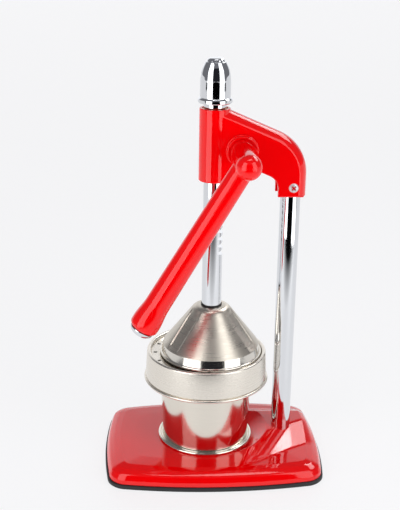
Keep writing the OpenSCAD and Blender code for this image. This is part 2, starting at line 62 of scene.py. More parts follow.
# %% Millimetres and colours
MM = 0.001
scene = bpy.context.scene


def node_box(name):
    """The lowest and highest corner of a CAD node, in millimetres."""
    low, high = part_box(name)
    return low / MM, high / MM


def linear(hex_colour):
    """An sRGB hex colour as the linear colour that a shader socket takes."""
    channels = [int(hex_colour[i:i + 2], 16) / 255 for i in (1, 3, 5)]
    return tuple(c / 12.92 if c <= 0.04045 else ((c + 0.055) / 1.055) ** 2.4 for c in channels) + (1.0,)


# %% [markdown]
# ## The camera
# A table-top product is seen from a little above, with a long lens so that upright tubes stay
# nearly parallel. The camera is placed by three angles and a point in space, which is how a
# tripod head is set. Making it first fixes what each later step has to show.

# %% Camera
CAMERA_TURN = math.radians(-3.42)
CAMERA_RISE = math.radians(19.43)
CAMERA_ROLL = math.radians(0.86)
CAMERA_PLACE = Vector((-68.9, -947.3, 554.4)) * MM
LENS_MM = 71.22

back = Vector((math.sin(CAMERA_TURN) * math.cos(CAMERA_RISE),
               -math.cos(CAMERA_TURN) * math.cos(CAMERA_RISE),
               math.sin(CAMERA_RISE)))
right = Vector((math.cos(CAMERA_TURN), math.sin(CAMERA_TURN), 0))
up = back.cross(right)
camera_x = right * math.cos(CAMERA_ROLL) + up * math.sin(CAMERA_ROLL)
camera_y = up * math.cos(CAMERA_ROLL) - right * math.sin(CAMERA_ROLL)

camera = bpy.data.objects.new("camera", bpy.data.cameras.new("camera"))
scene.collection.objects.link(camera)
facing = Matrix((camera_x, camera_y, back)).transposed().to_4x4()
camera.matrix_world = Matrix.Translation(CAMERA_PLACE) @ facing
camera.data.lens = LENS_MM
camera.data.sensor_width = 36
camera.data.clip_end = 1000
scene.camera = camera
print("camera at", [round(c, 3) for c in camera.location])

# %% [markdown]
# ## Helpers for nodes and meshes
# A material is a small graph, so one function adds a node, sets its values and makes its
# links. A mesh piece is always made the same way too: from points in millimetres and faces,
# shaded smooth with its hard edges kept, riding on a body of the frame and standing for a
# CAD node. Keeping both in one place keeps each later cell about the shape alone.

# %% Node helper
def add(tree, kind, inputs=None, **settings):
    """Adds a node. An input is given a value, or another node's output to link from."""
    made = tree.nodes.new(kind)
    for name, value in settings.items():
        setattr(made, name, value)
    for name, value in (inputs or {}).items():
        if isinstance(value, bpy.types.NodeSocket):
            tree.links.new(value, made.inputs[name])
        else:
            made.inputs[name].default_value = value
    return made


print("node helper ready")


# %% Material helpers
def new_material(name):
    """An empty material with its output node. Returns the material, its tree and the output."""
    material = bpy.data.materials.new(name)
    material.use_nodes = True
    tree = material.node_tree
    tree.nodes.clear()
    return material, tree, add(tree, "ShaderNodeOutputMaterial")


def noise(tree, where, size_mm, detail):
    """A noise whose spots are about size_mm across. Returns its value, from 0 to 1."""
    inputs = {"Vector": where, "Scale": 1 / (size_mm * MM), "Detail": detail}
    return add(tree, "ShaderNodeTexNoise", inputs).outputs["Fac"]


def blend(tree, factor, first, second):
    """A colour between two, by a factor."""
    inputs = {"Factor": factor, "A": first, "B": second}
    return add(tree, "ShaderNodeMix", inputs, data_type="RGBA").outputs["Result"]


def spread(tree, value, low, high):
    """Takes the middle of a noise, where nearly all of it lies, to a range from low to high."""
    inputs = {"Value": value, "From Min": 0.3, "From Max": 0.7, "To Min": low, "To Max": high}
    return add(tree, "ShaderNodeMapRange", inputs).outputs["Result"]


def relief(tree, height, depth_mm, strength):
    """A bump of a depth in millimetres. Returns the bent normal."""
    inputs = {"Height": height, "Distance": depth_mm * MM, "Strength": strength}
    return add(tree, "ShaderNodeBump", inputs).outputs["Normal"]


def cover(tree, output, inputs):
    """Closes a material with one principled surface."""
    skin = add(tree, "ShaderNodeBsdfPrincipled", inputs)
    tree.links.new(skin.outputs["BSDF"], output.inputs["Surface"])


print("material helpers ready")

# %% Mesh helpers
HARD_EDGE = math.radians(32)


def shade(piece, angle=HARD_EDGE):
    """Smooth shading that stops at edges sharper than the angle."""
    piece.data.shade_smooth()
    piece.data.set_sharp_from_angle(angle=angle)


def raw_object(name, points, faces):
    """A mesh object from points in millimetres, with its faces turned outwards."""
    mesh = bpy.data.meshes.new(name)
    mesh.from_pydata([Vector(p) * MM for p in points], [], faces)
    work = bmesh.new()
    work.from_mesh(mesh)
    bmesh.ops.recalc_face_normals(work, faces=work.faces)
    work.to_mesh(mesh)
    work.free()
    piece = bpy.data.objects.new(name, mesh)
    scene.collection.objects.link(piece)
    return piece


def place(piece, material, body, slot, *stands_for):
    """Gives a finished piece its material, its body and the CAD nodes that it stands for."""
    piece.data.materials.clear()
    piece.data.materials.append(material)
    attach(piece, body)
    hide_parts(*stands_for)
    print(piece.name, "has", len(piece.data.polygons), "faces")
    return piece


def arc(cx, cy, radius, start, end, steps):
    """Points on an arc, with its angles in degrees."""
    angles = [math.radians(start + (end - start) * k / steps) for k in range(steps + 1)]
    return [(cx + radius * math.cos(a), cy + radius * math.sin(a)) for a in angles]


def smoothstep(low, high, x):
    """0 below low, 1 above high, and a soft slope between."""
    t = min(max((x - low) / (high - low), 0.0), 1.0)
    return t * t * (3 - 2 * t)


print("mesh helpers ready")

# %% [markdown]
# ## Turned and spun shapes
# Most of this press is round: bars are turned, the bell and the cup are spun from sheet over
# a former. A lathe does the same in mesh code. A profile is drawn as corners with a fillet
# radius each, since no real edge is sharp and the small rounds are what catches the light,
# and it is then swept round its axis.

# %% Profile
def rounded(corners, steps=4):
    """A profile from (across, along, fillet) corners. Each fillet becomes a short arc."""
    points = [Vector(c[:2]) for c in corners]
    outline = []
    for i, corner in enumerate(corners):
        fillet = corner[2] if len(corner) > 2 else 0
        here = points[i]
        if not fillet or i in (0, len(corners) - 1):
            outline.append(tuple(here))
            continue
        before = (points[i - 1] - here)
        after = (points[i + 1] - here)
        half = before.angle(after) / 2
        reach = min(fillet / math.tan(half), 0.49 * before.length, 0.49 * after.length)
        radius = reach * math.tan(half)
        before.normalize()
        after.normalize()
        middle = here + (before + after).normalized() * (radius / math.sin(half))
        start = here + before * reach - middle
        end = here + after * reach - middle
        swing = start.angle_signed(end)
        for k in range(steps + 1):
            turn = Matrix.Rotation(-swing * k / steps, 2)
            outline.append(tuple(middle + turn @ start))
    return outline


print("a square corner rounds to", len(rounded([(0, 0), (5, 0, 1), (5, 5)])) - 2, "points")


# %% Lathe
def lathe(name, profile, place_at=(0, 0, 0), lean=None, sides=144, push=None):
    """Sweeps a profile of (radius, height) round an axis. A profile that starts and ends on the
    axis makes a closed solid, and any other profile is closed on itself. push(angle, radius,
    height) may move a point outwards."""
    frame_of_piece = Matrix.Translation(place_at)
    if lean is not None:
        frame_of_piece = frame_of_piece @ lean
    on_axis = [p[0] < 1e-4 for p in profile]
    points, rows = [], []
    for (radius, height), single in zip(profile, on_axis):
        row = []
        for k in range(1 if single else sides):
            angle = 2 * math.pi * k / sides
            r = 0 if single else radius + (push(angle, radius, height) if push else 0)
            row.append(len(points))
            points.append(frame_of_piece @ Vector((r * math.cos(angle), r * math.sin(angle), height)))
        rows.append(row)
    pairs = list(zip(rows, rows[1:]))
    if not (on_axis[0] and on_axis[-1]):
        pairs.append((rows[-1], rows[0]))
    faces = []
    for low, high in pairs:
        for k in range(sides):
            n = (k + 1) % sides
            ring = [low[k % len(low)], low[n % len(low)], high[n % len(high)], high[k % len(high)]]
            face = [v for j, v in enumerate(ring) if v != ring[j - 1]]
            if len(face) > 2:
                faces.append(face)
    return raw_object(name, points, faces)


ALONG_Y = Matrix.Rotation(math.radians(-90), 4, "X")
print("lathe ready")

# %% [markdown]
# ## Cutting and joining
# The head is one casting whose outside is soft and whose bores are machined afterwards. Solid
# modelling works the same way round: the cast masses are joined, then cutters remove the
# hollow and the bores. The cutters are thrown away once the result is a plain mesh.

# %% Booleans
def apply_modifiers(piece):
    """Turns what the modifiers make into the piece's own mesh."""
    ready = bpy.context.evaluated_depsgraph_get()
    mesh = bpy.data.meshes.new_from_object(piece.evaluated_get(ready))
    piece.modifiers.clear()
    piece.data = mesh


def combine(piece, tools, operation):
    """Joins tools to a piece, or cuts them from it, and removes the tools."""
    for tool in tools:
        step = piece.modifiers.new(operation, "BOOLEAN")
        step.operation = operation
        step.solver = "EXACT"
        step.object = tool
    apply_modifiers(piece)
    for tool in tools:
        bpy.data.objects.remove(tool)


def prism(name, side_points, y_low, y_high):
    """A plate cut to a side profile of (x, z) points, from one y to another."""
    count = len(side_points)
    points = [(x, y_low, z) for x, z in side_points] + [(x, y_high, z) for x, z in side_points]
    faces = [tuple(range(count)), tuple(range(2 * count - 1, count - 1, -1))]
    faces += [(k, (k + 1) % count, count + (k + 1) % count, count + k) for k in range(count)]
    return raw_object(name, points, faces)


print("booleans ready")

# %% [markdown]
# ## Red stove enamel
# The castings are painted with a stoved gloss enamel: a coloured layer under a clear, glassy
# skin. It is not quite flat. Paint that flows before it sets leaves a shallow orange peel,
# 2 to 3 mm from crest to crest, which the eye reads as a slight wobble in a reflection.
# Pigment and film thickness also vary a little. The red is a plain surface with a sharp coat.

# %% Enamel
def red_enamel():
    """Stoved gloss enamel on cast aluminium: deep, wet-looking red with a soft orange peel."""
    material, tree, output = new_material("red_stove_enamel")
    here = add(tree, "ShaderNodeTexCoord").outputs["Object"]
    peel_mm, film_mm, wipe_mm = 2.6, 45, 12
    bump = relief(tree, noise(tree, here, peel_mm, 1.0), 0.02, 0.25)
    tint = blend(tree, noise(tree, here, film_mm, 2.0), linear("#ee0002"), linear("#f80006"))
    wiped = {"Value": noise(tree, here, wipe_mm, 3.0), "To Min": 0.05, "To Max": 0.09}
    polish = add(tree, "ShaderNodeMapRange", wiped).outputs["Result"]
    cover(tree, output, {
        "Base Color": tint, "Roughness": polish, "IOR": 1.42, "Coat Weight": 0.3,
        "Coat Roughness": 0.03, "Coat IOR": 1.45, "Normal": bump})
    return material


ENAMEL = red_enamel()
print("made", ENAMEL.name)

# %% [markdown]
# ## Bright metals
# Chrome plate on a ground bar is almost a mirror, slightly blue, with the faintest haze from
# handling. The bell and the strainer are stainless steel finished with a belt while they
# spin, so fine lines run round them and smear each reflection across the lines. The cup is
# the same steel, buffed. Each metal keeps its default index and is told apart by its
# roughness, its lines and its slightly warm or cool grey. The band round the bell's foot is
# polished almost smooth.

# %% Chrome
def chrome_plate():
    """Bright chrome on ground steel: a cool mirror with a trace of haze and finger marks."""
    material, tree, output = new_material("chrome_plate")
    here = add(tree, "ShaderNodeTexCoord").outputs["Object"]
    smudge_mm = 9
    handled = {"Value": noise(tree, here, smudge_mm, 4.0), "From Min": 0.35, "From Max": 0.75,
               "To Min": 0.035, "To Max": 0.09}
    haze = add(tree, "ShaderNodeMapRange", handled).outputs["Result"]
    cover(tree, output, {"Base Color": linear("#dfe1e4"), "Metallic": 1.0, "Roughness": haze})
    return material


CHROME = chrome_plate()
print("made", CHROME.name)


# %% Stainless steel
def spun_steel(name, centre_x, colour, roughness, line_mm, depth_mm, blur):
    """Stainless steel with fine lines that run round an upright axis at centre_x. The lines
    are drawn coarser than a real belt leaves them, so that they still show at arm's length."""
    material, tree, output = new_material(name)
    here = add(tree, "ShaderNodeTexCoord").outputs["Object"]
    centred = add(tree, "ShaderNodeVectorMath", {0: here, 1: (-centre_x * MM, 0, 0)}, operation="ADD")
    parts = add(tree, "ShaderNodeSeparateXYZ", {0: centred.outputs[0]})
    flat = add(tree, "ShaderNodeCombineXYZ", {0: parts.outputs[0], 1: parts.outputs[1]})
    radius = add(tree, "ShaderNodeVectorMath", {0: flat.outputs[0]}, operation="LENGTH")

    def scaled(value, size_mm):
        """A length in units of size_mm."""
        return add(tree, "ShaderNodeMath", {0: value, 1: 1 / (size_mm * MM)}, operation="MULTIPLY").outputs[0]

    drift_mm, cloud_mm = 30, 14
    lines_at = add(tree, "ShaderNodeCombineXYZ", {
        0: scaled(radius.outputs["Value"], line_mm), 1: scaled(parts.outputs[0], drift_mm),
        2: scaled(parts.outputs[2], line_mm)})
    drawn = {"Vector": lines_at.outputs[0], "Scale": 1.0, "Detail": 2.0}
    lines = add(tree, "ShaderNodeTexNoise", drawn).outputs["Fac"]
    both = add(tree, "ShaderNodeMix", {"Factor": 0.35, "A": lines, "B": noise(tree, here, cloud_mm, 3.0)})
    dark = linear(colour)
    light = tuple(min(c * 1.08, 1.0) for c in dark[:3]) + (1.0,)
    cover(tree, output, {
        "Base Color": blend(tree, lines, dark, light), "Metallic": 1.0,
        "Roughness": spread(tree, both.outputs["Result"], roughness * 0.8, roughness * 1.25),
        "Anisotropic": blur, "Normal": relief(tree, lines, depth_mm, 0.3)})
    return material


strainer_low, strainer_high = node_box("strainer")
CUP_X = (strainer_low.x + strainer_high.x) / 2
BELL_STEEL = spun_steel("belt_finished_stainless_bell", 0, "#cdc6ba", 0.30, 0.6, 0.0012, 0.5)
BAND_STEEL = spun_steel("polished_stainless_band", 0, "#d8d4cc", 0.12, 0.6, 0.0005, 0.0)
STRAINER_STEEL = spun_steel("belt_finished_stainless_strainer", CUP_X, "#e0dad0", 0.26, 0.6, 0.0012, 0.4)
CUP_STEEL = spun_steel("buffed_stainless_cup", CUP_X, "#dcd6cb", 0.12, 0.7, 0.0015, 0.2)
print("cup's axis at x", round(CUP_X, 2), "mm")

# %% [markdown]
# ## Plain workshop finishes
# What shows less is still made of something: zinc plated screws, bare machined gears, oil
# bronze bushes and the black rubber of the sole. A grainy noise in the roughness and a small
# bump are enough for them, at the scale of turning marks, pores or moulded texture.

# %% Grained finishes
def grained(name, colour, metallic, roughness, grain_mm, depth_mm):
    """A surface with an even grain: plated, machined, sintered or moulded by its numbers."""
    material, tree, output = new_material(name)
    here = add(tree, "ShaderNodeTexCoord").outputs["Object"]
    grain = noise(tree, here, grain_mm, 3.0)
    dark = linear(colour)
    light = tuple(min(c * 1.25 + 0.004, 1.0) for c in dark[:3]) + (1.0,)
    cover(tree, output, {
        "Base Color": blend(tree, grain, dark, light), "Metallic": metallic,
        "Roughness": spread(tree, grain, roughness * 0.8, roughness * 1.2),
        "Normal": relief(tree, grain, depth_mm, 0.6)})
    return material


RUBBER = grained("moulded_nitrile_rubber", "#161618", 0.0, 0.55, 0.8, 0.03)
ZINC = grained("zinc_plated_steel", "#dcdee0", 1.0, 0.44, 0.9, 0.01)
MACHINED = grained("machined_steel", "#8f9398", 1.0, 0.34, 0.5, 0.015)
BRONZE = grained("oil_bronze", "#a47a45", 1.0, 0.38, 0.6, 0.02)
print("materials:", len(bpy.data.materials))

# %% [markdown]
# ## The base casting
# The base is a die-cast dish turned over: a thin wall that curves up and in from a rubber
# rim to a flat seat, with the plan of a rounded rectangle whose sides bow outwards. Near the
# column it swells into a boss, hollowed on one side to let the cup stand close. A stack of
# closed rings follows such a form well. Each ring is the plan drawn in by some amount at
# some height, and the boss is a smooth height added to whatever lies near the column.

# %% Plan of the base
sole_low, sole_high = node_box("rubber_sole")
SEAT_Z = 19.6
BOSS_Z = 28.5
END_BOW = 6
SIDE_BOW = 10.3
CORNER_R = 14
CORNER_STEPS = 14
SIDE_STEPS = 72
QUARTERS = ((1, 1), (-1, 1), (-1, -1), (1, -1))
base_centre = (sole_low + sole_high) / 2
base_half_l = (sole_high.x - sole_low.x) / 2 - END_BOW
base_half_d = (sole_high.y - sole_low.y) / 2 - SIDE_BOW


def base_plan(inset):
    """The closed plan of the base, drawn in by an inset, as (x, y) points."""
    half_l, half_d = base_half_l - inset, base_half_d - inset
    radius = max(CORNER_R - inset / 2, 3)
    loop = []
    for i, (sx, sy) in enumerate(QUARTERS):
        start = 90 * i
        corner = arc(sx * (half_l - radius), sy * (half_d - radius), radius, start, start + 90, CORNER_STEPS)
        nx, ny = QUARTERS[(i + 1) % 4]
        following = arc(nx * (half_l - radius), ny * (half_d - radius), radius, start + 90, start + 180, 1)[0]
        here = Vector(corner[-1])
        loop += corner + [tuple(here.lerp(Vector(following), k / SIDE_STEPS)) for k in range(1, SIDE_STEPS)]
    bowed = []
    for x, y in loop:
        end = math.copysign(END_BOW * (1 - (y / half_d) ** 2), x)
        side = math.copysign(SIDE_BOW * (1 - (x / half_l) ** 2), y)
        bowed.append((x + end + base_centre.x, y + side + base_centre.y))
    return bowed


print("plan points:", len(base_plan(0)))

# %% Boss round the column
column_low, column_high = node_box("column")
COLUMN_X = (column_low.x + column_high.x) / 2
COLUMN_R = (column_high.x - column_low.x) / 2
cup_low, cup_high = node_box("juice_cup")
BOSS_RISE = BOSS_Z - SEAT_Z
WALL_FOOT = 50.4
WALL_RISE = 0.62
FRONT_FALL = 0.24
END_FALL = 0.15
REAR_FALL = 0.42
SIDE_FALL = 0.36
REAR_EDGE = 30
SIDE_EDGE = 48
CREASE = 0.7
FOOT_CREASE = 0.6


def soft_least(a, b, blend):
    """The smaller of two heights, with the crease between them rounded over."""
    share = min(max(0.5 + (b - a) / (2 * blend), 0.0), 1.0)
    return b + (a - b) * share - blend * share * (1 - share)


def boss_height(x, y):
    """How far the boss rises above the seat at a place on the base: a flat top round the
    column, a long plane towards the front, a shorter fall at the rear and on the cup's side a
    wall that follows the cup."""
    front = BOSS_RISE - FRONT_FALL * (-COLUMN_R - y) - END_FALL * (x - COLUMN_X + COLUMN_R)
    rear = BOSS_RISE - REAR_FALL * (y - REAR_EDGE)
    side = BOSS_RISE - SIDE_FALL * (SIDE_EDGE - x)
    wall = (math.hypot(x - CUP_X, y) - WALL_FOOT) * WALL_RISE
    height = BOSS_RISE
    for slope in (front, rear, side, wall):
        height = soft_least(height, slope, CREASE)
    return -soft_least(-height, 0, FOOT_CREASE)


print("boss rises", round(boss_height(COLUMN_X, 0), 2), "mm at the column")

# %% Rings of the base
def ring_stack(name, rings, centre_z_low, centre_z_high, centre):
    """Closed rings of (points, heights), joined in order and closed at both ends."""
    points, faces = [], []
    count = len(rings[0])
    for ring in rings:
        points += ring
    for row in range(len(rings) - 1):
        for k in range(count):
            n = (k + 1) % count
            a, b = row * count, (row + 1) * count
            faces.append((a + k, a + n, b + n, b + k))
    for row, z in ((0, centre_z_low), (len(rings) - 1, centre_z_high)):
        points.append((centre.x, centre.y, z))
        hub = len(points) - 1
        faces += [(row * count + k, row * count + (k + 1) % count, hub) for k in range(count)]
    return raw_object(name, points, faces)


def level(inset, z):
    """One flat ring of the base's plan."""
    return [(x, y, z) for x, y in base_plan(inset)]


SEAT_INSET = 30
SEAT_STEPS = 12
TOP_RINGS = 90
UNDERSIDE = [(18, SEAT_Z - 4), (9, 12.5), (5.5, 6)]
BOSS_FROM_RING = 7

EDGE = rounded([(5.5, 4.5), (1.5, 4.5, 0.5), (1.9, 9, 4), (4.4, 14.6, 6), (9.5, 17.6, 9), (15.6, 19.05, 2),
                (SEAT_INSET, SEAT_Z)], 6)
shelf_inset, shelf_z = EDGE[-2]
shelf = [(shelf_inset + (SEAT_INSET - shelf_inset) * share, shelf_z + (SEAT_Z - shelf_z) * share)
         for share in (k / SEAT_STEPS for k in range(1, SEAT_STEPS))]
casting_rings = [level(inset, z) for inset, z in UNDERSIDE]
for number, (inset, z) in enumerate(EDGE[:-1] + shelf, len(UNDERSIDE)):
    fade = smoothstep(2, 14, inset) if number >= BOSS_FROM_RING else 0
    casting_rings.append([(x, y, z + fade * boss_height(x, y)) for x, y in base_plan(inset)])
seat_ring = base_plan(SEAT_INSET)
for k in range(TOP_RINGS):
    share = 1 - k / TOP_RINGS
    spots = [(base_centre.x + (x - base_centre.x) * share, base_centre.y + (y - base_centre.y) * share)
             for x, y in seat_ring]
    casting_rings.append([(x, y, SEAT_Z + boss_height(x, y)) for x, y in spots])
base = ring_stack("base_casting_shell", casting_rings, SEAT_Z - 4, SEAT_Z, base_centre)
shade(base, math.radians(50))
place(base, ENAMEL, "frame", "red_enamel", "base_casting")

# %% [markdown]
# ## The rubber sole
# A moulded mat closes the casting from below and shows as a thin black line under the red.
# Its edge is rounded over, because rubber is moulded with a radius, and it reaches a little
# over a millimetre past the casting that it grips.

# %% Sole
SOLE_T = 4.5
SOLE_EDGE = rounded([(30, 0), (0.0, 0.0, 1.1), (0.0, SOLE_T, 1.0), (8, SOLE_T)], 5)
sole_rings = [level(inset, z) for inset, z in SOLE_EDGE]
sole = ring_stack("rubber_sole_mat", sole_rings, 0, SOLE_T, base_centre)
shade(sole, math.radians(60))
place(sole, RUBBER, "frame", "black_rubber", "rubber_sole")

# %% [markdown]
# ## The head casting
# The head is one casting: an upright guide for the ram, an arm that slopes down and bends
# into a socket on the column, and stepped discs round the shaft. From above the arm is
# crowned, and its crown meets the flat cheeks in a tight round that carries a long line of
# light. The arm is lofted from cheek to cheek. Each point of the side outline moves in by
# the depth that the crown, or a plain edge round, has reached at that width.

# %% Side outline of the arm
head_low, head_high = node_box("head_casting")
screw_low, screw_high = node_box("head_screw")
SHAFT = Vector(frame["joints"][0]["pos_m"]) / MM
GUIDE_R = -head_low.x
GUIDE_TOP = head_high.z
GUIDE_L = 71
GUIDE_FOOT = GUIDE_TOP - GUIDE_L
BACK_X = head_high.x
SOCKET_Z = head_low.z
SOCKET_WALL = 4
SOCKET_X = COLUMN_X - COLUMN_R - SOCKET_WALL
HALF_W = 13.7
WALL = 4.5
SLOPE = math.radians(23.4)
BEND_R = 45
DEPTH = 41.9
SLOPE_TOP = GUIDE_TOP - 1.9
ROOT_X = 2

bend_x = BACK_X - BEND_R
bend_start_x = bend_x + BEND_R * math.sin(SLOPE)
bend_z = SLOPE_TOP - math.tan(SLOPE) * (bend_start_x - GUIDE_R) - BEND_R * math.cos(SLOPE)
under_z = bend_z + (BEND_R - DEPTH) / math.cos(SLOPE)


def under_edge(x):
    """Height of the arm's lower edge."""
    return under_z - (x - bend_x) * math.tan(SLOPE)


FILLET_R = 15
ARCH_SHARE = 0.72
fillet_x = SOCKET_X - FILLET_R
fillet_z = under_edge(fillet_x) - FILLET_R / math.cos(SLOPE)
arch_x = GUIDE_R + ARCH_SHARE * (fillet_x + FILLET_R * math.sin(SLOPE) - GUIDE_R)
arch_z = under_edge(arch_x)
print("arm bends at", round(bend_x, 1), round(bend_z, 1))

# %% Sections of the arm
CROWN_R = 15.9
EDGE_R = 3.4
FOOT_R = 1.3
FACE_STEPS = 14
ROUND_STEPS = 6


def crown_section():
    """(width, depth) from the middle of the crown, over the tight round, to the cheek."""
    centre_w = HALF_W - EDGE_R
    centre_d = CROWN_R - math.sqrt((CROWN_R - EDGE_R) ** 2 - centre_w ** 2)
    lean = math.asin(centre_w / (CROWN_R - EDGE_R))
    crown = [(CROWN_R * math.sin(a), CROWN_R * (1 - math.cos(a)))
             for a in (lean * k / FACE_STEPS for k in range(FACE_STEPS))]
    edge = [(centre_w + EDGE_R * math.sin(a), centre_d - EDGE_R * math.cos(a))
            for a in (lean + (math.pi / 2 - lean) * k / ROUND_STEPS for k in range(ROUND_STEPS + 1))]
    return crown + edge


def plain_section():
    """(width, depth) for the lower edges: flat, then a small round."""
    flat = [((HALF_W - FOOT_R) * k / FACE_STEPS, 0.0) for k in range(FACE_STEPS)]
    edge = [(HALF_W - FOOT_R + FOOT_R * math.sin(a), FOOT_R * (1 - math.cos(a)))
            for a in (math.pi / 2 * k / ROUND_STEPS for k in range(ROUND_STEPS + 1))]
    return flat + edge


print("points in half a section:", len(crown_section()))


# %% Outline of the arm
def outline_of_arm():
    """The side outline as (x, z, crowned side's direction, plain side's direction)."""
    none = (0, 0)
    slope_dir = (math.sin(SLOPE), math.cos(SLOPE))
    line = [ROOT_X + (bend_start_x - ROOT_X) * k / 16 for k in range(16)]
    top = [(x, SLOPE_TOP - math.tan(SLOPE) * (x - GUIDE_R), slope_dir, none) for x in line]
    for k in range(29):
        a = math.pi / 2 - SLOPE - (math.pi / 2 - SLOPE) * k / 28
        outwards = (math.cos(a), math.sin(a))
        top.append((bend_x + BEND_R * outwards[0], bend_z + BEND_R * outwards[1], outwards, none))
    down = [(BACK_X, bend_z + (SOCKET_Z - bend_z) * k / 6, (1, 0), none) for k in range(1, 6)]
    foot = [(BACK_X, SOCKET_Z, (1, 0), (0, -1))]
    foot += [(BACK_X + (SOCKET_X - BACK_X) * k / 8, SOCKET_Z, none, (0, -1)) for k in range(1, 8)]
    foot += [(SOCKET_X, SOCKET_Z, none, (-1, -1))]
    rise = [(SOCKET_X, SOCKET_Z + (fillet_z - SOCKET_Z) * k / 4, none, (-1, 0)) for k in range(1, 4)]
    for k in range(13):
        a = (math.pi / 2 - SLOPE) * k / 12
        rise.append((fillet_x + FILLET_R * math.cos(a), fillet_z + FILLET_R * math.sin(a), none,
                     (-math.cos(a), -math.sin(a))))
    below = (-math.sin(SLOPE), -math.cos(SLOPE))
    gap = [fillet_x + FILLET_R * math.sin(SLOPE) + (arch_x - fillet_x - FILLET_R * math.sin(SLOPE)) * k / 4
           for k in range(1, 4)]
    under = [(x, under_edge(x), none, below) for x in gap]
    for k in range(17):
        a = math.pi / 2 * k / 16
        across, rise_by = arch_x - GUIDE_R, arch_z - GUIDE_FOOT
        direction = Vector((rise_by * math.sin(a), -across * math.cos(a))).normalized()
        spot = (arch_x - across * math.sin(a), GUIDE_FOOT + rise_by * math.cos(a))
        under.append((*spot, none, tuple(direction)))
    return top + down + foot + rise + under + [(ROOT_X, GUIDE_FOOT, none, (0, -1))]


print("points in the outline:", len(outline_of_arm()))


# %% Loft of the arm
def loft_arm():
    """The arm as a solid, from one cheek to the other."""
    outline = outline_of_arm()
    half = list(zip(crown_section(), plain_section()))
    slices = [(-1, pair) for pair in reversed(half)] + [(1, pair) for pair in half[1:]]
    points = []
    for side, ((crown_w, crown_d), (plain_w, plain_d)) in slices:
        for x, z, crowned, plain in outline:
            width = crown_w if crowned != (0, 0) else plain_w
            points.append((x - crowned[0] * crown_d - plain[0] * plain_d, side * width,
                           z - crowned[1] * crown_d - plain[1] * plain_d))
    count, rows = len(outline), len(slices)
    faces = [(a + k, a + (k + 1) % count, a + count + (k + 1) % count, a + count + k)
             for a in range(0, (rows - 1) * count, count) for k in range(count)]
    faces += [tuple(range(count)), tuple(range((rows - 1) * count, rows * count))]
    return raw_object("head_casting_shell", points, faces)


head = loft_arm()
print("arm loft:", len(head.data.vertices), "points")

# %% Guide and discs
def disc(name, y_low, y_high, radius, fillet=0.8):
    """A turned disc on the shaft axis."""
    profile = rounded([(0, y_low), (radius, y_low, fillet), (radius, y_high, fillet), (0, y_high)])
    return lathe(name, profile, (SHAFT.x, 0, SHAFT.z), ALONG_Y, 96)


guide_profile = rounded([
    (0, GUIDE_FOOT), (GUIDE_R, GUIDE_FOOT, 1.2), (GUIDE_R, GUIDE_TOP, 0.9), (0, GUIDE_TOP)])
guide = lathe("guide", guide_profile, sides=144)
DISC_R = 15.8
DISC_STEP = 3.8
masses = [guide, disc("disc_a", -HALF_W - DISC_STEP, -HALF_W + 2, DISC_R),
          disc("disc_b", head_low.y, -HALF_W, DISC_R - 1),
          disc("disc_c", HALF_W - 2, head_high.y, DISC_R - 2)]
combine(head, masses, "UNION")
print("head masses joined:", len(head.data.vertices), "points")

# %% Hollow and bores
PAST = 5
CAVITY = HALF_W - WALL
saddle_x = COLUMN_X - COLUMN_R + 1
reach = math.degrees(math.acos((saddle_x - bend_x) / (BEND_R - WALL)))
hollow_side = [(GUIDE_R, SOCKET_Z - 20), (GUIDE_R, SLOPE_TOP - WALL / math.cos(SLOPE))]
hollow_side += arc(bend_x, bend_z, BEND_R - WALL, 90 - math.degrees(SLOPE), reach, 8)
hollow_side += [(saddle_x, SOCKET_Z - 20)]
bush_low, bush_high = node_box("guide_bush_lower")
shaft_bush_low, shaft_bush_high = node_box("shaft_bush_front")
pinion_low, pinion_high = node_box("pinion")


def bore(name, radius, y_low, y_high):
    """A cutter on the shaft axis."""
    return lathe(name, [(0, y_low), (radius, y_low), (radius, y_high), (0, y_high)],
                 (SHAFT.x, 0, SHAFT.z), ALONG_Y, 64)


ram_bore = [(0, GUIDE_FOOT - PAST), (bush_high.x, GUIDE_FOOT - PAST),
            (bush_high.x, GUIDE_TOP + PAST), (0, GUIDE_TOP + PAST)]
column_bore = [(0, SOCKET_Z - PAST), (COLUMN_R, SOCKET_Z - PAST),
               (COLUMN_R, column_high.z), (0, column_high.z)]
shaft_bore_r = (shaft_bush_high.x - shaft_bush_low.x) / 2
cutters = [prism("hollow", hollow_side, -CAVITY, CAVITY),
           bore("gear_room", (pinion_high.x - pinion_low.x) / 2 + 0.8, -CAVITY, CAVITY),
           bore("shaft_bore", shaft_bore_r, head_low.y - PAST, head_high.y + PAST),
           lathe("ram_bore", ram_bore, sides=96),
           lathe("column_bore", column_bore, (COLUMN_X, 0, 0), sides=96)]
combine(head, cutters, "DIFFERENCE")
shade(head)
weighted = head.modifiers.new("weighted", "WEIGHTED_NORMAL")
weighted.keep_sharp = True
place(head, ENAMEL, "frame", "red_enamel", "head_casting")

# %% [markdown]
# ## The column
# The column is a ground and chromed bar. Only a clean, round, finely divided cylinder gives
# the long unbroken stripes that a chromed bar shows.

# %% Column
bar = rounded([(0, column_low.z), (COLUMN_R, column_low.z, 0.6), (COLUMN_R, column_high.z, 0.6),
               (0, column_high.z)])
column = lathe("column_bar", bar, (COLUMN_X, 0, 0), sides=160)
shade(column)
place(column, CHROME, "frame", "chrome_bar", "column")

# %% [markdown]
# ## The ram's cap
# A chromed bullet is screwed on top of the ram: a neck, a flange, a body that closes in an
# ogive, and a small button. It is turned in one piece, so it is one profile on the lathe.

